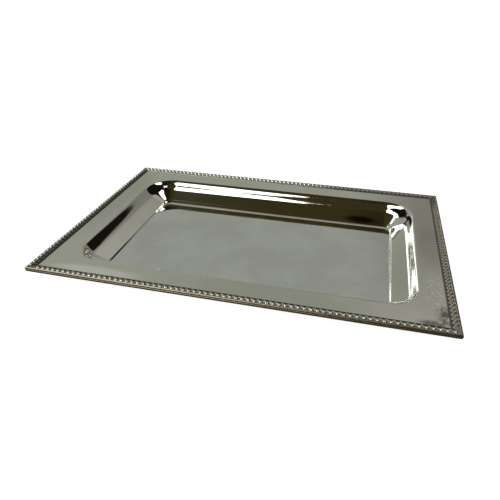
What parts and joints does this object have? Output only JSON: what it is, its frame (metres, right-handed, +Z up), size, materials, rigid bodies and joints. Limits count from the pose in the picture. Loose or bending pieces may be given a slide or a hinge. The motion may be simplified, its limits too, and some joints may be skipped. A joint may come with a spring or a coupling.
{
  "type": "serving tray",
  "caption": "Rectangular serving tray with a shallow sloping well, a wide flat rim, a rolled wired edge and mitred gadroon border strips.",
  "frame": {"origin": "centre of the underside of the well floor, on the surface the tray rests on", "axes": "+X along the long side, +Y from the near long side to the far long side, +Z up out of the well"},
  "size_m": [0.532, 0.356, 0.0345],
  "materials": {
    "silver_plate": "polished silver plate, lightly scratched",
    "silver_border": "silver plate with tarnish in the recesses",
    "steel_wire": "drawn wire",
    "solder": "dull soft solder"
  },
  "bodies": {
    "root": {"tray_pan": "silver_plate", "edge_wire": "steel_wire", "border_near": "silver_border", "border_far": "silver_border", "border_left": "silver_border", "border_right": "silver_border", "solder_fill_near": "solder", "solder_fill_far": "solder", "solder_fill_left": "solder", "solder_fill_right": "solder", "mitre_solder": "solder"}
  },
  "joints": []
}
